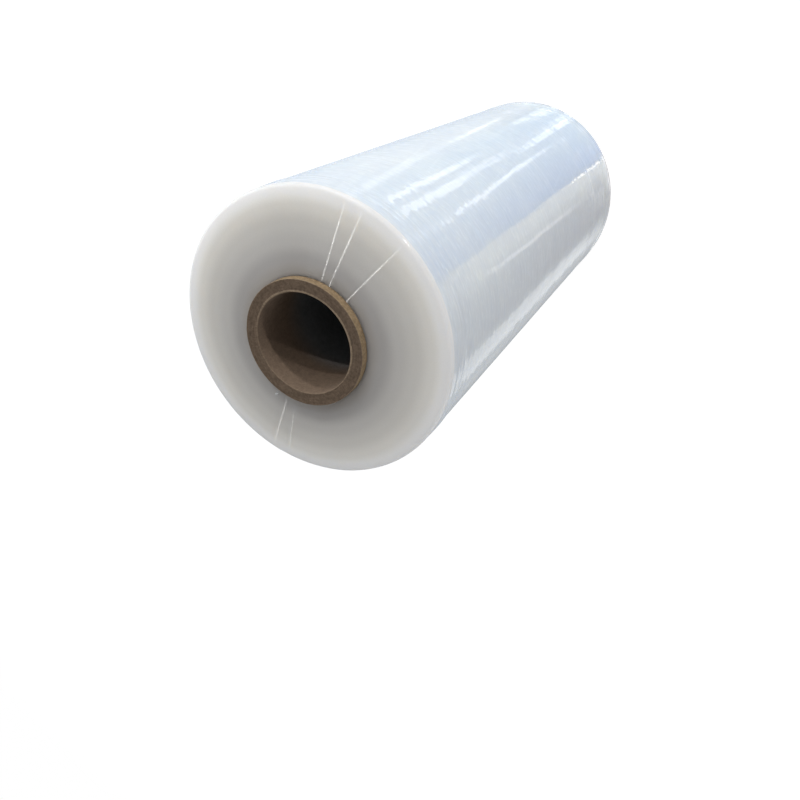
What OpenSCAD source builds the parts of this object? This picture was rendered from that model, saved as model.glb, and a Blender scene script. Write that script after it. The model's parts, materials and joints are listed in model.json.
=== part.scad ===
// Roll of stretch wrap: clear film wound on a spiral-wound paper tube.
// The roll stands on one end of its tube. Z runs along the roll's axis,
// and Z = 0 is the face that the tube stands on. All sizes are in millimetres.

/* [Paper tube] */
// Bore of the tube, which goes over a mandrel
core_bore_d = 76; // [50:1:78]
// Thickness of the tube's wall
core_wall = 9.5; // [4:0.5:12]
// How far the tube stands out past the film's outer turns at the upper end
upper_overhang = 11; // [8:0.5:25]
// How far the tube stands out past the film's outer turns at the lower end
lower_overhang = 9; // [2:0.5:25]
// Bevel that the cutting knife leaves on the bore's edge
core_bore_bevel = 0.4; // [0.2:0.1:1.5]
// Bevel on the outer edge of the tube's cut face
core_rim_bevel = 0.3; // [0.2:0.1:1.5]

/* [Wound film] */
// Width of the film, and so the length of the wound part
film_w = 500; // [250:10:750]
// Outside diameter of the wound film
film_d = 219; // [140:1:280]
// Gap between the tube and the first turn
first_turn_gap = 0.05; // [0:0.01:0.2]
// Rounding of the outer corners, where the outer turns draw in
film_edge_r = 3; // [1.5:0.5:8]

/* [Turns at the end faces] */
// Radial thickness of the turns that lie level with each other
turn_group = 2.6; // [1.4:0.2:6]
// How far one group of turns may lie behind the next one
turn_stagger = 0.35; // [0.1:0.05:0.8]
// How much higher the innermost turns lie than the outermost ones
turn_drift = 4.5; // [0:0.5:6]

/* [Bands round the outside] */
// Distance from one thickness band of the film to the next
band_pitch = 14; // [8:1:30]
// Height of a band above the hollows beside it
band_h = 0.35; // [0.1:0.05:0.8]
// Distance from the film's edge to the first raised ridge
ridge_inset = 13; // [9:0.5:24]
// Distance from one raised ridge to the next
ridge_pitch = 5; // [3:0.5:8]
// Raised ridges near each edge
ridge_count = 3; // [1:1:5]
// Height of a ridge
ridge_h = 0.45; // [0.1:0.05:1]

/* [Hidden] */

core_bore_r = core_bore_d / 2;
core_r = core_bore_r + core_wall;
core_len = lower_overhang + film_w + upper_overhang;

film_r = film_d / 2;
film_bore_r = core_r + first_turn_gap;
film_z = lower_overhang;

// The crests of the ridges are the widest places of the roll.
wall_r = film_r - ridge_h;

// The level part of an end face runs from the bore to the rounded corner.
face_span = wall_r - film_edge_r - film_bore_r;
group_count = max(3, round(face_span / turn_group));
group_t = face_span / group_count;

// The outside's bands fill the width between the two sets of ridges.
ridge_half_w = ridge_pitch * 0.3;
ridge_last = ridge_inset + (ridge_count - 1) * ridge_pitch;
band_z0 = ridge_last + ridge_pitch;
band_count = max(2, round((film_w - 2 * band_z0) / band_pitch));
band_t = (film_w - 2 * band_z0) / band_count;

// Groups of turns wander in and out in a slow beat, as the winder's guide does.
group_beat = 97;
beat_drift = 11;

corner_steps = 6;
$fn = 180;

// The web drifted steadily along the tube while it was wound, so both ends slope alike.
function drift(i) = turn_drift * (1 - i / (group_count - 1));

// How far group i lies behind the foremost one, on the end named by side
function group_recess(i, side) =
    turn_stagger * (0.5 - 0.5 * cos(group_beat * i + beat_drift * i * i + 180 * side));

// One end face as steps from the bore outwards, at height z, with inward sign s
function face_steps(z, s, side) = [
    for (i = [0 : group_count - 1])
        let (r = film_bore_r + i * group_t, h = z + drift(i) + s * group_recess(i, side))
            each [[r, h], [r + group_t, h]]
];

// A rounded corner from the end face at height z to the outside
function corner(z, s) = [
    for (k = [0 : corner_steps])
        let (a = 90 * k / corner_steps)
            [
                wall_r - film_edge_r * (1 - sin(a)),
                z + s * film_edge_r * (1 - cos(a))
            ]
];

// The raised ridges near one edge, listed from the edge at height z inwards
function ridges(z, s) = [
    for (i = [0 : ridge_count - 1])
        let (h = z + s * (ridge_inset + i * ridge_pitch))
            each [
                [wall_r, h - s * ridge_half_w],
                [wall_r + ridge_h, h],
                [wall_r, h + s * ridge_half_w]
            ]
];

// The bands in the middle, each with a hollow before it
function bands(z) = [
    for (i = [0 : band_count - 1])
        let (h = z + band_z0 + i * band_t, swell = 0.6 + 0.4 * sin(group_beat * i))
            each [
                [wall_r, h],
                [wall_r - band_h * swell, h + band_t * 0.35],
                [wall_r - band_h * swell, h + band_t * 0.6]
            ]
];

function reversed(list) = [for (i = [len(list) - 1 : -1 : 0]) list[i]];

// Half section of the wound film, from the bore round to the bore again
module film_section() {
    z0 = film_z;
    z1 = film_z + film_w;
    polygon(concat(
        face_steps(z0, 1, 0),
        corner(z0, 1),
        ridges(z0, 1),
        bands(z0),
        [[wall_r, z1 - band_z0]],
        reversed(ridges(z1, -1)),
        reversed(corner(z1, -1)),
        reversed(face_steps(z1, -1, 1))
    ));
}

// The wound film is one continuous web, so its turns are one solid.
module film_roll() {
    color([0.86, 0.90, 0.95])
        rotate_extrude()
            film_section();
}

// Half section of the paper tube, with the bevels of its two cut faces
module core_section() {
    polygon([
        [core_bore_r, core_bore_bevel],
        [core_bore_r + core_bore_bevel, 0],
        [core_r - core_rim_bevel, 0],
        [core_r, core_rim_bevel],
        [core_r, core_len - core_rim_bevel],
        [core_r - core_rim_bevel, core_len],
        [core_bore_r + core_bore_bevel, core_len],
        [core_bore_r, core_len - core_bore_bevel]
    ]);
}

// The tube's paper plies are glued into one piece.
module core() {
    color([0.45, 0.36, 0.27])
        rotate_extrude()
            core_section();
}

core();
film_roll();
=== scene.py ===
# Roll of clear stretch wrap on a paper tube, standing on one end of its tube.
# Z runs up the roll's axis from the face that it stands on, and all lengths are metres.
import json
import math

import bmesh
import bpy
from mathutils import Matrix, Vector, noise


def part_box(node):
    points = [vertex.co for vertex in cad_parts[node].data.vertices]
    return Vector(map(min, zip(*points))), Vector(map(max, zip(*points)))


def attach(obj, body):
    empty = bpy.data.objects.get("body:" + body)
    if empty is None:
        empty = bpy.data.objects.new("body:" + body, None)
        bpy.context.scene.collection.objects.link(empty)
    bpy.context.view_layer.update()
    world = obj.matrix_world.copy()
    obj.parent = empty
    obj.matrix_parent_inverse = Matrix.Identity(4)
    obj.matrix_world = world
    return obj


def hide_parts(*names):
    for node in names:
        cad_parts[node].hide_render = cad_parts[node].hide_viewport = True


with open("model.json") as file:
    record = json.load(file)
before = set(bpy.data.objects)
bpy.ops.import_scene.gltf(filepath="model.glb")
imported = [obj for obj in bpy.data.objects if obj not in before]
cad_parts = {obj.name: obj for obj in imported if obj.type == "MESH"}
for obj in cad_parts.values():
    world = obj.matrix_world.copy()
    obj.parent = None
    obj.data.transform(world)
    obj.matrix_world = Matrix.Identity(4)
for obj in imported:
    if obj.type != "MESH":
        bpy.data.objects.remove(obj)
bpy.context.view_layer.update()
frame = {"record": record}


# Paper tube. Strips of brown board are wound in a spiral, glued and sawn to length. The film
# is wound tightly on it, and its sawn ends stand out past the film, so the roll stands on one.
_, tube_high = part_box("core")
tube_r = tube_high.x
tube_end = tube_high.z
bore_r = next(m for m in frame["record"]["mounts"] if m["name"] == "core_bore")["dims"]["r_mm"] / 1000
bore_bevel = 0.0004
rim_bevel = 0.0003
ply_count = 12
glue_line_w = 0.00016
glue_line_depth = 0.00007
saw_fray = 0.00018
tube_sides = 240
strip_pitch = 0.118
cut_board = (0.146, 0.104, 0.072)
glue_brown = (0.066, 0.046, 0.031)
outer_board = (0.275, 0.198, 0.116)
bore_board = (0.200, 0.145, 0.104)
# Cool grey of the board deep in the bore: painted shade colour, where no lamp reaches.
bore_shade_grey = (0.185, 0.195, 0.205)
pale_fibre = (0.300, 0.228, 0.158)
board_relief = 0.00022
board_roughness = 0.86
board_shine = 0.25


def turned(outline, sides):
    """A closed outline of (radius, height) points, turned once round the roll's axis."""
    mesh = bmesh.new()
    points = [mesh.verts.new((r, 0, z)) for r, z in outline]
    edges = [mesh.edges.new(pair) for pair in zip(points, points[1:] + points[:1])]
    bmesh.ops.spin(
        mesh, geom=points + edges, cent=(0, 0, 0), axis=(0, 0, 1), dvec=(0, 0, 0),
        angle=2 * math.pi, steps=sides, use_merge=True, use_duplicate=False)
    bmesh.ops.recalc_face_normals(mesh, faces=mesh.faces)
    return mesh


def finished(mesh, name, material, crease=40):
    """The bmesh as a piece of the roll, with edges sharper than crease degrees kept crisp."""
    data = bpy.data.meshes.new(name)
    mesh.to_mesh(data)
    mesh.free()
    data.materials.append(material)
    data.shade_smooth()
    data.set_sharp_from_angle(angle=math.radians(crease))
    piece = bpy.data.objects.new(name, data)
    bpy.context.scene.collection.objects.link(piece)
    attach(piece, "root")
    return piece


def sawn_end(height, inward):
    """Points across a sawn end, from the bore to the outside, with a groove at each glue line."""
    yield bore_r, height + inward * bore_bevel
    yield bore_r + bore_bevel, height
    ply_t = (tube_r - bore_r) / ply_count
    for ply in range(2, ply_count):
        glue_r = bore_r + ply * ply_t
        yield glue_r - glue_line_w, height
        yield glue_r, height + inward * glue_line_depth
        yield glue_r + glue_line_w, height
    yield tube_r - rim_bevel, height
    yield tube_r, height + inward * rim_bevel


tube_outline = list(sawn_end(0, 1)) + list(sawn_end(tube_end, -1))[::-1]
tube_mesh = turned(tube_outline, tube_sides)

# The saw leaves both arrises of a sawn end a little ragged.
for point in tube_mesh.verts:
    radius = Vector(point.co[:2]).length
    height_in = min(point.co.z, tube_end - point.co.z)
    ragged = saw_fray * abs(noise.noise(point.co * 420) + 0.6 * noise.noise(point.co * 1100))
    if height_in < 1.1 * bore_bevel and radius < bore_r + 1.1 * bore_bevel:
        point.co.xy *= 1 + ragged / radius
    elif height_in < 1.1 * rim_bevel and radius > tube_r - 1.1 * rim_bevel:
        point.co.xy *= 1 - ragged / radius


def maths(tree, operation, *values):
    """The result of a Math node; each value is a number or another node's output."""
    node = tree.nodes.new("ShaderNodeMath")
    node.operation = operation
    for socket, value in zip(node.inputs, values):
        if isinstance(value, bpy.types.NodeSocket):
            tree.links.new(value, socket)
        else:
            socket.default_value = value
    return node.outputs["Value"]


def eased(tree, value, start, end, low=0.0, high=1.0):
    """A value that goes smoothly from low to high as the given one goes from start to end."""
    node = tree.nodes.new("ShaderNodeMapRange")
    node.interpolation_type = "SMOOTHSTEP"
    tree.links.new(value, node.inputs["Value"])
    for name, number in (("From Min", start), ("From Max", end), ("To Min", low), ("To Max", high)):
        node.inputs[name].default_value = number
    return node.outputs["Result"]


def blended(tree, share, first, second):
    """Two colours mixed; each is three numbers or a colour output, and share may be a number."""
    node = tree.nodes.new("ShaderNodeMix")
    node.data_type = "RGBA"
    for socket, value in zip((node.inputs[0], node.inputs[6], node.inputs[7]), (share, first, second)):
        if isinstance(value, bpy.types.NodeSocket):
            tree.links.new(value, socket)
        else:
            socket.default_value = value if isinstance(value, float) else (*value, 1)
    return node.outputs[2]


# Grain is noise from 0 to 1, on places that are first stretched along each axis.
grain_group = bpy.data.node_groups.new("grain", "ShaderNodeTree")
for socket_name, kind in (
        ("Place", "Vector"), ("Stretch", "Vector"), ("Scale", "Float"), ("Detail", "Float"),
        ("Roughness", "Float")):
    grain_group.interface.new_socket(socket_name, in_out="INPUT", socket_type="NodeSocket" + kind)
grain_group.interface.new_socket("Amount", in_out="OUTPUT", socket_type="NodeSocketFloat")
given = grain_group.nodes.new("NodeGroupInput").outputs
made = grain_group.nodes.new("NodeGroupOutput").inputs
stretching = grain_group.nodes.new("ShaderNodeMapping")
grain_group.links.new(given["Place"], stretching.inputs["Vector"])
grain_group.links.new(given["Stretch"], stretching.inputs["Scale"])
fine_noise = grain_group.nodes.new("ShaderNodeTexNoise")
grain_group.links.new(stretching.outputs["Vector"], fine_noise.inputs["Vector"])
for socket_name in ("Scale", "Detail", "Roughness"):
    grain_group.links.new(given[socket_name], fine_noise.inputs[socket_name])
grain_group.links.new(fine_noise.outputs["Fac"], made["Amount"])


def grain(tree, place, stretch, scale, detail=2.0, roughness=0.5):
    """The grain group placed in a material, with the material's own values."""
    node = tree.nodes.new("ShaderNodeGroup")
    node.node_tree = grain_group
    tree.links.new(place, node.inputs["Place"])
    for name, value in (("Stretch", stretch), ("Scale", scale), ("Detail", detail), ("Roughness", roughness)):
        node.inputs[name].default_value = value
    return node.outputs["Amount"]


def axis_places(tree, place):
    """The radius from the roll's axis, the height and the angle round it, in turns."""
    split = tree.nodes.new("ShaderNodeSeparateXYZ")
    tree.links.new(place, split.inputs["Vector"])
    x, y, z = split.outputs
    squares = maths(tree, "ADD", maths(tree, "MULTIPLY", x, x), maths(tree, "MULTIPLY", y, y))
    turn = maths(tree, "DIVIDE", maths(tree, "ARCTAN2", y, x), 2 * math.pi)
    return maths(tree, "SQRT", squares), z, turn


def facing(tree, turn, degrees):
    """1 at the given angle round the axis, 0 a quarter turn away from it and -1 opposite."""
    return maths(tree, "COSINE", maths(tree, "MULTIPLY_ADD", turn, 2 * math.pi, -math.radians(degrees)))


def rough_surface(tree, height, depth):
    """A normal from a height pattern whose full range is depth metres."""
    bump = tree.nodes.new("ShaderNodeBump")
    bump.inputs["Strength"].default_value = 1.0
    bump.inputs["Distance"].default_value = depth
    tree.links.new(height, bump.inputs["Height"])
    return bump.outputs["Normal"]


def darkened(tree, colour, shade):
    """A colour or vector output times a number output."""
    scale = tree.nodes.new("ShaderNodeVectorMath")
    scale.operation = "SCALE"
    tree.links.new(colour, scale.inputs[0])
    tree.links.new(shade, scale.inputs["Scale"])
    return scale.outputs["Vector"]


def tube_board():
    """Matt brown board: dark and rough where sawn, lighter outside, with its spiral seams."""
    material = bpy.data.materials.new("tube_board")
    material.use_nodes = True
    tree = material.node_tree
    shader = tree.nodes["Principled BSDF"]
    place = tree.nodes.new("ShaderNodeTexCoord").outputs["Object"]
    radius, height, turn = axis_places(tree, place)

    from_middle = maths(tree, "ABSOLUTE", maths(tree, "SUBTRACT", height, tube_end / 2))
    sawn = eased(tree, from_middle, tube_end / 2 - rim_bevel, tube_end / 2 - 0.2 * rim_bevel)
    outside = eased(tree, radius, tube_r - 0.9 * rim_bevel, tube_r - 0.2 * rim_bevel)
    # The pale crushed fibre at the sawn arrises is widest and strongest on the side that faces the small
    # lamps: partly crushed fibre and partly a painted highlight.
    fray_and_highlight = eased(tree, facing(tree, turn, -60), -0.6, 0.5)
    frayed = maths(tree, "MULTIPLY_ADD", grain(tree, place, (1, 1, 1), 420, 2, 0.6), 0.0016, radius)
    frayed = maths(tree, "MULTIPLY_ADD", fray_and_highlight, -0.0011, frayed)
    near_bore = eased(tree, frayed, bore_r + 4.2 * bore_bevel, bore_r + 2.8 * bore_bevel)
    near_end = eased(tree, from_middle, tube_end / 2 - 1.6 * bore_bevel, tube_end / 2 - 0.6 * bore_bevel)
    near_rim = eased(tree, radius, tube_r - 2.2 * rim_bevel, tube_r - 0.6 * rim_bevel)
    crushed = maths(tree, "MAXIMUM", near_bore, maths(tree, "MULTIPLY", near_rim, 0.6))
    crushed = maths(tree, "MULTIPLY", crushed, near_end)
    crushed = maths(tree, "MULTIPLY", crushed, maths(tree, "MULTIPLY_ADD", fray_and_highlight, 0.65, 0.35))

    fibres = grain(tree, place, (1, 1, 1), 1500, 3, 0.65)
    clouds = grain(tree, place, (1, 1, 1), 170, 3, 0.6)
    speckle = grain(tree, place, (1, 1, 1), 520, 2, 0.6)
    flecks = eased(tree, grain(tree, place, (1, 1, 1), 560, 1, 0.4), 0.71, 0.80)
    strips = maths(tree, "DIVIDE", height, strip_pitch)
    seam_turn = maths(tree, "FRACT", maths(tree, "SUBTRACT", strips, turn))
    seam = maths(tree, "SUBTRACT", eased(tree, seam_turn, 0.0, 0.004), eased(tree, seam_turn, 0.006, 0.011))
    seam = maths(tree, "MULTIPLY", seam, eased(tree, radius, bore_r + 0.001, tube_r, 0.06, 0.45))
    wander = maths(tree, "MULTIPLY_ADD", clouds, 0.0010, radius)
    plies = tree.nodes.new("ShaderNodeCombineXYZ")
    tree.links.new(maths(tree, "MULTIPLY", radius, 760.0), plies.inputs["X"])
    tree.links.new(maths(tree, "MULTIPLY", turn, 14.0), plies.inputs["Y"])
    ply_tone = grain(tree, plies.outputs["Vector"], (1, 1, 1), 1, 2, 0.6)
    ply_turns = maths(tree, "DIVIDE", maths(tree, "SUBTRACT", wander, bore_r), (tube_r - bore_r) / ply_count)
    ply_wave = maths(tree, "SINE", maths(tree, "MULTIPLY", ply_turns, 2 * math.pi))
    glue_line = maths(tree, "MULTIPLY", eased(tree, ply_wave, 0.35, 0.95), eased(tree, clouds, 0.35, 0.65))

    # Deep in the bore the board turns from brown to cool grey: painted shade.
    deep = eased(tree, from_middle, tube_end / 2 - 0.035, tube_end / 2 - 0.065)
    wall = blended(tree, outside, blended(tree, deep, bore_board, bore_shade_grey), outer_board)
    wall = blended(tree, seam, wall, cut_board)
    end = blended(tree, maths(tree, "MULTIPLY", glue_line, 0.34), cut_board, glue_brown)
    board = blended(tree, sawn, wall, end)
    board = blended(tree, maths(tree, "MULTIPLY", crushed, 0.75), board, pale_fibre)
    board = blended(tree, maths(tree, "MULTIPLY", flecks, 0.40), board, pale_fibre)
    shade = maths(tree, "MULTIPLY_ADD", fibres, 0.45, 0.555)
    shade = maths(tree, "MULTIPLY_ADD", clouds, 0.44, shade)
    ply_shade = eased(tree, ply_tone, 0.30, 0.70, -0.13, 0.13)
    shade = maths(tree, "ADD", shade, maths(tree, "MULTIPLY", ply_shade, sawn))
    speckle = eased(tree, speckle, 0.32, 0.68, -0.18, 0.18)
    past_bore = eased(tree, radius, bore_r, bore_r + 0.001, 0.45, 1.0)
    shade = maths(tree, "MULTIPLY_ADD", speckle, past_bore, shade)
    tree.links.new(darkened(tree, board, shade), shader.inputs["Base Color"])

    lie = maths(tree, "ADD", maths(tree, "MULTIPLY", fibres, 0.8), maths(tree, "MULTIPLY", clouds, 0.6))
    lie = maths(tree, "SUBTRACT", lie, maths(tree, "MULTIPLY", seam, 1.2))
    tree.links.new(rough_surface(tree, lie, board_relief), shader.inputs["Normal"])
    shader.inputs["Roughness"].default_value = board_roughness
    shader.inputs["Specular IOR Level"].default_value = board_shine
    return material


paper_tube = finished(tube_mesh, "paper_tube", tube_board(), crease=30)
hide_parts("core")


# Wound film. One long web of clear stretch film, wound tightly and clinging to itself, is milky
# at its ends, where the light goes down between the turns, and glossy and pale outside.
film_low, film_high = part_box("film_roll")
film_r = film_high.x
film_w = 0.500
film_bottom = film_low.z
film_top = film_bottom + film_w
film_mid = film_bottom + film_w / 2
ridge_h = 0.00045
web_step = 0.00018
wall_r = film_r - ridge_h - web_step
first_turn_gap = 0.00005
inner_r = tube_r + first_turn_gap
edge_round = 0.003
edge_points = 6
turn_group = 0.00105
turn_wander = 0.00018
turn_drift = 0.0045
loose_turns = 0.0014
loose_lift = 0.0003
line_pitch = 0.0018
band_h = 0.00010
ridge_half_w = 0.0018
band_fade = 0.004
# Three ridges lie at these distances from each edge, and two more from the upper edge alone.
edge_ridges = (0.013, 0.018, 0.023)
lone_ridges = (0.404, 0.412)
film_sides = 216
tail_turn = math.radians(118)
tail_slant = math.radians(5)
tail_fade = math.radians(70)
tail_step = 0.12
tail_waver = 0.006
out_of_round = 0.00006
shallow_folds = 0.00008


def film_end(height, inward, seed):
    """Points across an end of the film from the tube outwards, where turns lie in or out."""
    span = wall_r - edge_round - inner_r
    count = round(span / turn_group)
    for i in range(count + 1):
        radius = inner_r + span * i / count
        beat = noise.noise((seed, radius * 110, 0)) + 0.4 * noise.noise((seed, radius * 410, 4))
        sunk = turn_wander * min(1, max(0, 0.5 + 0.6 * beat)) * min(1, 3 * (1 - i / count))
        yield radius, height + turn_drift * (1 - i / count) + inward * sunk


def film_edge(height, inward):
    """Points round an outer corner, where the last turns are drawn in."""
    for k in range(1, edge_points):
        a = math.radians(90 * k / edge_points)
        yield wall_r - edge_round * (1 - math.sin(a)), height + inward * edge_round * (1 - math.cos(a))


def film_wall():
    """Points up the outside, with its raised ridges and the thickness bands between."""
    span = film_w - 2 * edge_round
    count = round(span / line_pitch)
    for i in range(count + 1):
        height = film_bottom + edge_round + span * i / count
        from_edge = min(height - film_bottom, film_top - height)
        ridge = max(max(0, 1 - abs(from_edge - place) / ridge_half_w) for place in edge_ridges)
        lone = max(max(0, 1 - abs(film_top - height - place) / ridge_half_w) for place in lone_ridges)
        in_middle = min(1, max(0, (from_edge - edge_ridges[-1]) / band_fade))
        band = 0.5 + 0.5 * noise.noise((7, height * 60, 2)) + 0.08 * noise.noise((1, height * 330, 8))
        yield wall_r + ridge_h * max(ridge, 0.5 * lone) - in_middle * band_h * max(0, band), height


film_outline = list(film_end(film_bottom, 1, 3.1))
film_outline += list(film_edge(film_bottom, 1)) + list(film_wall())
film_outline += list(film_edge(film_top, -1))[::-1] + list(film_end(film_top, -1, 8.7))[::-1]
film_mesh = turned(film_outline, film_sides)

# The web ends in a straight edge on the side away from the camera. The turns under it pull the
# outside slightly out of round, with long shallow folds that run slantwise.
column = 2 * math.pi / film_sides
for point in film_mesh.verts:
    radius = Vector(point.co[:2]).length
    angle = math.atan2(point.co.y, point.co.x) % (2 * math.pi)
    outer = min(1, max(0, (radius - wall_r + 2 * edge_round) / (1.5 * edge_round)))
    height = point.co.z
    along = (height - film_mid) / (film_w / 2)
    if angle < 0.5 * column or angle > 2 * math.pi - 0.5 * column:
        after, place = 1.0, 0.0
    elif angle < 1.5 * column:
        after, place = 0.0, tail_step * column
    else:
        after, place = min(1, max(0, 1 - (2 * math.pi - angle) / tail_fade)), angle
    place += tail_turn + tail_slant * along + tail_waver * noise.noise((height * 9, 2, 5))
    around = Vector((math.cos(place), math.sin(place)))
    folds = noise.noise((3 * around.x + 5 * along, 3 * around.y - 4 * along, 6 * along))
    drawn_in = out_of_round * (1 + math.sin(2 * place + 1.3)) + shallow_folds * (1 + folds)
    new_radius = radius + outer * (web_step * after - drawn_in)
    if radius < inner_r + loose_turns and abs(height - film_mid) > film_w / 3:
        looseness = (inner_r + loose_turns - radius) / loose_turns
        lift = loose_lift * looseness * abs(noise.noise((90 * around.x, 90 * around.y, height * 3)))
        height += math.copysign(lift, height - film_mid)
    point.co = (new_radius * around.x, new_radius * around.y, height)

# Colours across an end of the film, from the tube at 0 to the outer turns at 1: painted shade, darker towards
# the tube, where the tube takes up the light that goes down between the turns.
end_shade_greys = (
    (0.00, (0.455, 0.418, 0.384)),
    (0.06, (0.475, 0.450, 0.424)),
    (0.18, (0.500, 0.487, 0.475)),
    (0.38, (0.650, 0.636, 0.612)),
    (0.57, (0.730, 0.717, 0.685)),
    (0.76, (0.835, 0.823, 0.790)),
    (0.90, (0.965, 0.955, 0.925)),
    (1.00, (0.980, 0.971, 0.948)),
)
outside_film = (0.810, 0.860, 0.910)
thick_line = (0.765, 0.832, 0.900)
fold_slant = 1.7
fold_depth = 0.0005
end_roughness = 0.52
light_reach = 0.027
reach_by_colour = (1.0, 0.95, 0.88)
glint_spread = 0.935
glint_share = 0.085
turn_lean = 0.24


def clear_film():
    """Clear film in many turns: deep and milky from its ends, pale and glossy round its outside."""
    material = bpy.data.materials.new("clear_film")
    material.use_nodes = True
    tree = material.node_tree
    shader = tree.nodes["Principled BSDF"]
    place = tree.nodes.new("ShaderNodeTexCoord").outputs["Object"]
    radius, height, turn = axis_places(tree, place)
    from_middle = maths(tree, "ABSOLUTE", maths(tree, "SUBTRACT", height, film_mid))
    past_wall = eased(tree, from_middle, film_w / 2 - 1.4 * edge_round, film_w / 2 - 0.9 * edge_round)
    inside_wall = eased(tree, radius, wall_r - 0.5 * edge_round, wall_r - 0.9 * edge_round)
    at_end = maths(tree, "MAXIMUM", past_wall, inside_wall)
    on_side = maths(tree, "SUBTRACT", 1.0, at_end)
    depth = eased(tree, radius, tube_r, film_r)
    depth.node.interpolation_type = "LINEAR"

    # The end's painted shade, darker towards the tube.
    ramp = tree.nodes.new("ShaderNodeValToRGB")
    ramp.color_ramp.interpolation = "EASE"
    while len(ramp.color_ramp.elements) < len(end_shade_greys):
        ramp.color_ramp.elements.new(0.5)
    for element, (position, colour) in zip(ramp.color_ramp.elements, end_shade_greys):
        element.position = position
        element.color = (*colour, 1)
    tree.links.new(depth, ramp.inputs["Fac"])

    twist = tree.nodes.new("ShaderNodeVectorRotate")
    twist.rotation_type = "Z_AXIS"
    tree.links.new(place, twist.inputs["Vector"])
    tree.links.new(maths(tree, "MULTIPLY", height, fold_slant), twist.inputs["Angle"])

    # Drawn lines run round the film, in short strokes and in long bands. Folds run up it, on a slant.
    lines = grain(tree, place, (6, 6, 700), 1, 3, 0.6)
    strokes = grain(tree, place, (120, 120, 150), 1, 2, 0.5)
    bands = grain(tree, place, (4, 4, 130), 1, 2, 0.5)
    rows = grain(tree, place, (24, 24, 205), 1, 0, 0.5)
    dashes = grain(tree, place, (130, 130, 420), 1, 2, 0.6)
    wrinkle_highlights = grain(tree, twist.outputs["Vector"], (110, 110, 7), 1, 2, 0.5)
    folds = grain(tree, twist.outputs["Vector"], (34, 34, 3), 1, 1, 0.5)
    patches = grain(tree, twist.outputs["Vector"], (16, 16, 6), 1, 2, 0.5)
    cloud = grain(tree, place, (14, 14, 14), 1, 2, 0.5)
    rings = tree.nodes.new("ShaderNodeCombineXYZ")
    tree.links.new(maths(tree, "MULTIPLY", radius, 900.0), rings.inputs["X"])
    tree.links.new(maths(tree, "MULTIPLY", turn, 70.0), rings.inputs["Y"])
    beads = grain(tree, rings.outputs["Vector"], (1, 1, 1), 1, 2, 0.6)

    outside = blended(tree, eased(tree, lines, 0.42, 0.72), outside_film, thick_line)
    colour = blended(tree, at_end, outside, ramp.outputs["Color"])
    side_shade = maths(tree, "MULTIPLY_ADD", bands, 0.07, 0.905)
    side_shade = maths(tree, "MULTIPLY_ADD", dashes, 0.13, side_shade)
    side_shade = maths(tree, "ADD", side_shade, eased(tree, dashes, 0.54, 0.66, 0.0, 0.035))
    side_shade = maths(tree, "ADD", side_shade, eased(tree, cloud, 0.35, 0.65, -0.015, 0.015))
    # The side is painted darker just under the upper edge, as painted shade, and paler just above the lower
    # edge, as a painted glow of light coming in through the lower end.
    painted_top_shade = eased(tree, height, film_top - 0.06, film_top - 0.006, 0.0, -0.05)
    painted_bottom_glow = eased(tree, height, film_bottom + 0.08, film_bottom, 0.0, 0.05)
    side_shade = maths(tree, "ADD", side_shade, maths(tree, "ADD", painted_top_shade, painted_bottom_glow))
    # Pale slanted wisps on the side are painted highlights of wrinkles in the outer web.
    side_shade = maths(tree, "ADD", side_shade, eased(tree, wrinkle_highlights, 0.62, 0.74, 0.0, 0.035))
    end_shade = maths(tree, "MULTIPLY_ADD", cloud, 0.06, 0.935)
    end_shade = maths(tree, "MULTIPLY_ADD", grain(tree, place, (1, 1, 1), 850, 2, 0.7), 0.07, end_shade)
    shade = maths(tree, "MULTIPLY", at_end, end_shade)
    shade = maths(tree, "MULTIPLY_ADD", on_side, side_shade, shade)
    tree.links.new(darkened(tree, colour, shade), shader.inputs["Base Color"])

    lie = maths(tree, "MULTIPLY", strokes, eased(tree, patches, 0.35, 0.65, 0.05, 0.16))
    for pattern, share in ((folds, 0.5), (lines, 0.012), (rows, 0.24)):
        lie = maths(tree, "MULTIPLY_ADD", pattern, share, lie)
    normal = rough_surface(tree, maths(tree, "MULTIPLY", lie, on_side), fold_depth)
    tree.links.new(normal, shader.inputs["Normal"])

    hazy = eased(tree, patches, 0.45, 0.70)
    side_roughness = maths(tree, "MULTIPLY_ADD", hazy, 0.05, eased(tree, dashes, 0.42, 0.62, 0.025, 0.065))
    past_rim = eased(tree, from_middle, film_w / 2 - 0.50 * edge_round, film_w / 2 - 0.15 * edge_round)
    matt = maths(tree, "MAXIMUM", past_rim, inside_wall)
    roughness = maths(tree, "MULTIPLY", side_roughness, maths(tree, "SUBTRACT", 1.0, matt))
    roughness = maths(tree, "MULTIPLY_ADD", matt, end_roughness, roughness)
    tree.links.new(roughness, shader.inputs["Roughness"])
    shader.inputs["Subsurface Weight"].default_value = 1.0
    shader.inputs["Subsurface Radius"].default_value = reach_by_colour
    shader.inputs["Subsurface Scale"].default_value = light_reach

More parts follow.
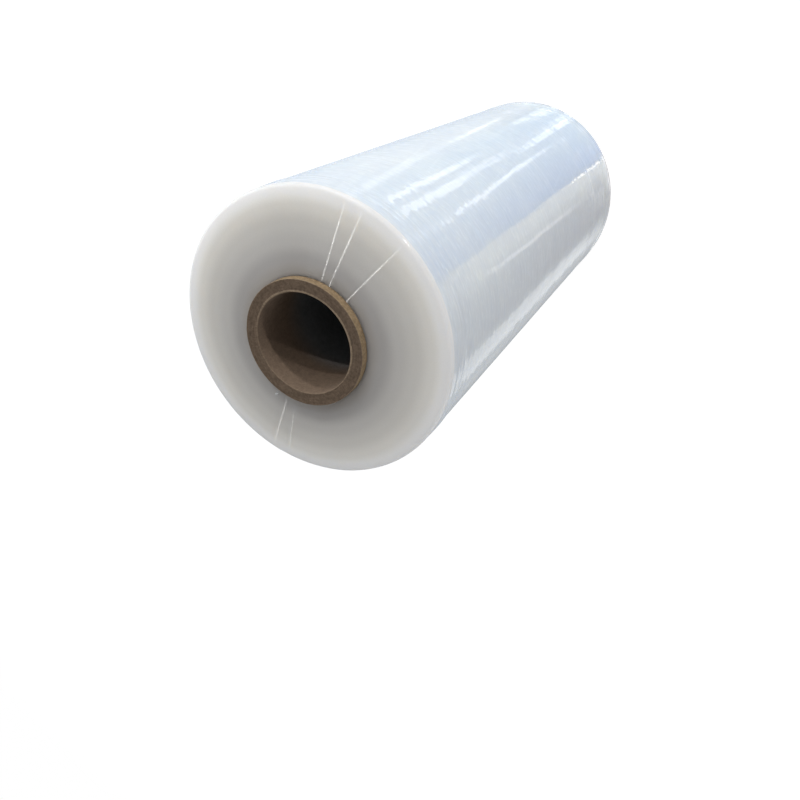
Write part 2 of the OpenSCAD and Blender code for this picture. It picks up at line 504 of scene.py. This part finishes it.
    # The turns' edges and the drawn lines spread a lamp's glint one way only, across them. The
    # edges lean outwards, and the outer ones are rolled over and hold no glint.
    glint = tree.nodes.new("ShaderNodeBsdfAnisotropic")
    glint.distribution = "GGX"
    glint.inputs["Anisotropy"].default_value = glint_spread
    round_about = tree.nodes.new("ShaderNodeTangent")
    round_about.direction_type = "RADIAL"
    round_about.axis = "Z"
    tree.links.new(round_about.outputs["Tangent"], glint.inputs["Tangent"])
    flat = tree.nodes.new("ShaderNodeVectorMath")
    flat.operation = "MULTIPLY"
    flat.inputs[1].default_value = (1, 1, 0)
    tree.links.new(place, flat.inputs[0])
    outwards = tree.nodes.new("ShaderNodeVectorMath")
    outwards.operation = "NORMALIZE"
    tree.links.new(flat.outputs["Vector"], outwards.inputs[0])
    lean = tree.nodes.new("ShaderNodeVectorMath")
    lean.operation = "ADD"
    outward_lean = darkened(tree, outwards.outputs["Vector"], maths(tree, "MULTIPLY", at_end, turn_lean))
    tree.links.new(outward_lean, lean.inputs[0])
    tree.links.new(normal, lean.inputs[1])
    leaning = tree.nodes.new("ShaderNodeVectorMath")
    leaning.operation = "NORMALIZE"
    tree.links.new(lean.outputs["Vector"], leaning.inputs[0])
    tree.links.new(leaning.outputs["Vector"], glint.inputs["Normal"])

    beaded = eased(tree, beads, 0.36, 0.60, 0.25, 0.95)
    end_glint = maths(tree, "MULTIPLY", eased(tree, radius, 0.110, 0.080), beaded)
    end_glint = maths(tree, "MULTIPLY", end_glint, eased(tree, facing(tree, turn, -60), -0.6, 0.6, 0.65, 1.0))
    side_glint = eased(tree, patches, 0.60, 0.40, 0.0, 0.12)
    strength = maths(tree, "MULTIPLY", at_end, end_glint)
    strength = maths(tree, "MULTIPLY_ADD", on_side, side_glint, strength)
    tree.links.new(blended(tree, strength, (0.0, 0.0, 0.0), (1.0, 1.0, 1.0)), glint.inputs["Color"])
    side_gloss = maths(tree, "MULTIPLY_ADD", lines, 0.2, 0.42)
    glint_roughness = maths(tree, "MULTIPLY_ADD", at_end, 0.25, maths(tree, "MULTIPLY", on_side, side_gloss))
    tree.links.new(glint_roughness, glint.inputs["Roughness"])
    mix = tree.nodes.new("ShaderNodeMixShader")
    mix.inputs["Fac"].default_value = glint_share
    tree.links.new(shader.outputs["BSDF"], mix.inputs[1])
    tree.links.new(glint.outputs["BSDF"], mix.inputs[2])
    tree.links.new(mix.outputs["Shader"], tree.nodes["Material Output"].inputs["Surface"])
    return material


film_material = clear_film()
wound_film = finished(film_mesh, "wound_film", film_material, crease=60)
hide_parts("film_roll")


# Film shred. A torn scrap of the web's edge stands out between two turns at the upper end, near
# the tube, curled over on itself. It is the same film, one layer thick, coloured near white, partly as a
# painted highlight.
shred_r = 0.0573
shred_turn = math.radians(109.8)
shred_twist = math.radians(40)
shred_w = 0.0022
shred_curl = 0.0012
shred_t = 0.00006
shred_sunk = 0.0003
shred_steps = 15
shred_start = -60
shred_bend = 23
# Near white: partly a painted highlight of the glint that the shred catches.
shred_film = (0.970, 0.980, 0.990)
shred_roughness = 0.12

face_in = (shred_r - inner_r) / (wall_r - edge_round - inner_r)
shred_foot = Vector((
    shred_r * math.cos(shred_turn),
    shred_r * math.sin(shred_turn),
    film_top + turn_drift * (1 - face_in) - shred_sunk))
shred_root = Matrix.Translation(shred_foot) @ Matrix.Rotation(shred_twist, 4, "Z")
shred_mesh = bmesh.new()
pairs = []
for step in range(shred_steps):
    a = math.radians(shred_start + shred_bend * step)
    curl = shred_curl * (1 - 0.03 * step)
    middle = Vector((0.0002 * math.sin(2.1 * a), curl * math.sin(a), curl * (1 - math.cos(a)) + 0.0002))
    reach = Vector((0.5 * shred_w * (1 - 0.045 * step), 0, 0.00012 * math.sin(1.7 * step)))
    pairs.append([shred_mesh.verts.new(shred_root @ (middle + side * reach)) for side in (-1, 1)])
strip = [shred_mesh.faces.new(first + second[::-1]) for first, second in zip(pairs, pairs[1:])]
bmesh.ops.solidify(shred_mesh, geom=strip, thickness=shred_t)
bmesh.ops.recalc_face_normals(shred_mesh, faces=shred_mesh.faces)


def single_layer():
    """The creased web of the shred, one layer thick: glossy, and near white all over, partly as a painted
    highlight.
    """
    material = bpy.data.materials.new("loose_film")
    material.use_nodes = True
    shader = material.node_tree.nodes["Principled BSDF"]
    shader.inputs["Base Color"].default_value = (*shred_film, 1)
    shader.inputs["Roughness"].default_value = shred_roughness
    return material


film_shred = finished(shred_mesh, "film_shred", single_layer(), crease=60)


# Floor. A plain white sheet lies under the roll. It shows white and keeps the roll's shadow.
floor_r = 7.0
shadow_near = 0.9
shadow_far = 2.2
near_white = 1.55
near_share = 0.55
sheet_white = (0.9, 0.9, 0.9)
sheet_glow = 0.2


def white_floor():
    """A matt white sheet that looks plain white and still takes the roll's shadow."""
    material = bpy.data.materials.new("white_floor")
    material.use_nodes = True
    tree = material.node_tree
    tree.nodes.remove(tree.nodes["Principled BSDF"])
    matt = tree.nodes.new("ShaderNodeBsdfDiffuse")
    matt.inputs["Color"].default_value = (*sheet_white, 1)
    white = tree.nodes.new("ShaderNodeEmission")
    white.inputs["Color"].default_value = (1, 1, 1, 1)
    path = tree.nodes.new("ShaderNodeLightPath")
    place = tree.nodes.new("ShaderNodeTexCoord").outputs["Object"]
    radius, _, _ = axis_places(tree, place)
    whiteness = eased(tree, radius, shadow_near, shadow_far, near_share, 1.0)
    tree.links.new(eased(tree, radius, shadow_near, shadow_far, near_white, 1.0), white.inputs["Strength"])
    seen = maths(tree, "MAXIMUM", path.outputs["Is Camera Ray"], path.outputs["Is Transmission Ray"])
    seen = maths(tree, "MAXIMUM", seen, sheet_glow)
    mix = tree.nodes.new("ShaderNodeMixShader")
    tree.links.new(maths(tree, "MULTIPLY", whiteness, seen), mix.inputs["Fac"])
    tree.links.new(matt.outputs["BSDF"], mix.inputs[1])
    tree.links.new(white.outputs["Emission"], mix.inputs[2])
    tree.links.new(mix.outputs["Shader"], tree.nodes["Material Output"].inputs["Surface"])
    return material


floor_mesh = bmesh.new()
bmesh.ops.create_circle(floor_mesh, cap_ends=True, radius=floor_r, segments=64)
floor_data = bpy.data.meshes.new("floor")
floor_mesh.to_mesh(floor_data)
floor_mesh.free()
floor_data.materials.append(white_floor())
floor = bpy.data.objects.new("floor", floor_data)
bpy.context.scene.collection.objects.link(floor)
floor.visible_glossy = False


# Studio. A pale surround with a few bright windows is mirrored in the glossy side, and is bluer on
# one side. Three large soft lamps and four small ones far off light the roll and give it its glints.
# The surround's colours go by the azimuth in degrees.
surround_bands = (
    (-180, (0.34, 0.31, 0.34)),
    (-142, (0.34, 0.31, 0.34)),
    (-138, (0.58, 0.55, 0.55)),
    (-130, (0.62, 0.61, 0.62)),
    (-126, (0.82, 0.82, 0.84)),
    (-111.5, (0.86, 0.86, 0.88)),
    (-110.5, (0.02, 0.20, 0.64)),
    (-100, (0.06, 0.28, 0.84)),
    (-64, (0.30, 0.56, 0.98)),
    (-30, (0.42, 0.66, 1.00)),
    (-17, (0.36, 0.62, 0.94)),
    (-8, (0.54, 0.74, 0.97)),
    (12, (0.72, 0.81, 0.93)),
    (70, (0.72, 0.80, 0.91)),
    (82, (0.30, 0.32, 0.34)),
    (110, (0.34, 0.36, 0.38)),
    (134, (0.60, 0.62, 0.64)),
    (152, (0.60, 0.62, 0.64)),
    (172, (0.46, 0.46, 0.48)),
    (180, (0.34, 0.31, 0.34)),
)
level_grey = (0.50, 0.52, 0.54)
above_grey = (0.22, 0.22, 0.22)

# Each window has an upper and a lower end, as an azimuth and the sine of its elevation, then
# half its width in degrees and its brightness above the surround's, which is below 0 for a dark card.
windows = (
    ((-11, -0.846), (1, -0.892), 4.6, 0.50),
    ((3, -0.895), (9, -0.926), 4.0, 0.18),
    ((9, -0.924), (13, -0.938), 2.4, 0.90),
    ((-28, -0.866), (-28, -0.918), 3.0, 1.45),
    ((-44.5, -0.872), (-44.5, -0.914), 4.3, 1.50),
    ((-40, -0.914), (-40, -0.937), 4.0, 0.70),
    ((-1, -0.950), (-9.5, -0.967), 3.0, 1.55),
    ((5, -0.942), (5, -0.964), 7.0, -0.20),
    ((36, -0.954), (36, -0.968), 12.0, 0.22),
    ((-43, -0.950), (-36, -0.967), 4.5, 1.25),
    ((-31, -0.9585), (-30, -0.968), 6.0, 1.00),
    ((-73, -0.900), (-59.5, -0.949), 2.4, 1.50),
    ((-113.8, -0.957), (-113.8, -0.972), 1.1, 1.90),
    ((-134, -0.905), (-140, -0.950), 2.2, 0.62),
    ((160, -0.820), (158, -0.942), 11.0, 0.50),
    ((-94, -0.964), (-94, -1.000), 17.0, 0.30),
    ((-140, -0.972), (-140, -1.000), 28.0, 0.85),
    ((-163, -0.962), (-163, -1.000), 15.0, 0.35),
    ((154, -0.942), (154, -1.000), 14.0, 0.12),
)
window_soft = 1.0
light_low = (0.36, 0.36, 0.37)
light_high = (0.325, 0.325, 0.325)

world = bpy.data.worlds.new("studio")
bpy.context.scene.world = world
world.use_nodes = True
sky = world.node_tree
background = sky.nodes["Background"]
direction = sky.nodes.new("ShaderNodeTexCoord").outputs["Generated"]
_, up, turn = axis_places(sky, direction)
bands = sky.nodes.new("ShaderNodeValToRGB")
while len(bands.color_ramp.elements) < len(surround_bands):
    bands.color_ramp.elements.new(0.5)
for element, (degrees, colour) in zip(bands.color_ramp.elements, surround_bands):
    element.position = degrees / 360 + 0.5
    element.color = (*colour, 1)
sky.links.new(maths(sky, "ADD", turn, 0.5), bands.inputs["Fac"])

window_light = 0.0
for (first_side, first_up), (last_side, last_up), half_w, brightness in windows:
    along = maths(sky, "DIVIDE", maths(sky, "SUBTRACT", up, first_up), last_up - first_up)
    middle = maths(sky, "MULTIPLY_ADD", along, (last_side - first_side) / 360, first_side / 360)
    away = maths(sky, "ABSOLUTE", maths(sky, "SUBTRACT", turn, middle))
    inside = eased(sky, away, half_w / 360 + window_soft / 720, half_w / 360 - window_soft / 720)
    past_end = maths(sky, "ABSOLUTE", maths(sky, "SUBTRACT", along, 0.5))
    inside = maths(sky, "MULTIPLY", inside, eased(sky, past_end, 0.60, 0.45))
    window_light = maths(sky, "MULTIPLY_ADD", inside, brightness, window_light)

below = sky.nodes.new("ShaderNodeVectorMath")
below.operation = "ADD"
sky.links.new(bands.outputs["Color"], below.inputs[0])
sky.links.new(window_light, below.inputs[1])
mirrored = blended(sky, eased(sky, up, -0.74, -0.56), below.outputs["Vector"], level_grey)
mirrored = blended(sky, eased(sky, up, -0.25, 0.05), mirrored, above_grey)

path = sky.nodes.new("ShaderNodeLightPath")
soft_light = blended(sky, eased(sky, up, 0.0, 1.0), light_low, light_high)
ambient = blended(sky, path.outputs["Is Glossy Ray"], soft_light, mirrored)
backdrop = maths(sky, "MAXIMUM", path.outputs["Is Camera Ray"], path.outputs["Is Transmission Ray"])
sky.links.new(blended(sky, backdrop, ambient, (1.0, 1.0, 1.0)), background.inputs["Color"])
background.inputs["Strength"].default_value = 1.0


def direction_to(azimuth, elevation):
    """A unit vector towards a lamp, from its angles in degrees."""
    a, e = math.radians(azimuth), math.radians(elevation)
    return Vector((math.cos(a) * math.cos(e), math.sin(a) * math.cos(e), math.sin(e)))


def lamp(name, kind, azimuth, elevation, distance, energy, colour):
    """A lamp that looks at the middle of the roll from the given side."""
    data = bpy.data.lights.new(name, kind)
    data.energy = energy
    data.color = colour
    towards = direction_to(azimuth, elevation)
    holder = bpy.data.objects.new(name, data)
    holder.matrix_world = Matrix.LocRotScale(
        Vector((0, 0, film_mid)) + distance * towards, towards.to_track_quat("Z", "Y"), None)
    bpy.context.scene.collection.objects.link(holder)
    return data


soft_lamps = (("soft_left", -30, 12), ("soft_right", 34, 17), ("soft_back", 178, 9))
soft_lamp_rise = 12
soft_lamp_away = 2.2
soft_lamp_size = 1.4
cool_white = (0.95, 0.98, 1.0)
for name, azimuth, energy in soft_lamps:
    soft_lamp = lamp(name, "AREA", azimuth, soft_lamp_rise, soft_lamp_away, energy, cool_white)
    soft_lamp.size = soft_lamp_size

# The small far lamps light only the roll, and leave the floor's shadow soft.
far_lamps = (
    ("glint_a", -40.2, 35.4, 0.45),
    ("glint_b", -30.2, 25.0, 0.50),
    ("glint_c", -75.2, 11.0, 0.66),
    ("glint_d", -12.0, 24.0, 0.06),
)
far_lamp_away = 3.0
far_lamp_spread = math.radians(0.6)
warm_white = (1.0, 0.98, 0.95)
on_the_roll = bpy.data.collections.new("on_the_roll")
for piece in (paper_tube, wound_film, film_shred):
    on_the_roll.objects.link(piece)
for name, azimuth, elevation, energy in far_lamps:
    far_lamp = lamp(name, "SUN", azimuth, elevation, far_lamp_away, energy, warm_white)
    far_lamp.angle = far_lamp_spread
    bpy.data.objects[name].light_linking.receiver_collection = on_the_roll


# Camera. It looks down at the upper end from above one side, and is turned on its axis, so that
# the roll lies across the picture from lower left to upper right.
camera_place = Vector((0, -0.3452, 0.9318))
camera_target = Vector((-0.1042, 0.1186, 0.3))
camera_turn = math.radians(-134.37)
lens_mm = 34.11

camera_data = bpy.data.cameras.new("camera")
camera_data.lens = lens_mm
camera_data.sensor_width = 36
camera_data.clip_start = 0.01
camera = bpy.data.objects.new("camera", camera_data)
level = (camera_target - camera_place).to_track_quat("-Z", "Y")
camera.matrix_world = (
    Matrix.Translation(camera_place) @ level.to_matrix().to_4x4() @ Matrix.Rotation(camera_turn, 4, "Z"))
bpy.context.scene.collection.objects.link(camera)
bpy.context.scene.camera = camera
bpy.context.scene.view_settings.view_transform = "Standard"
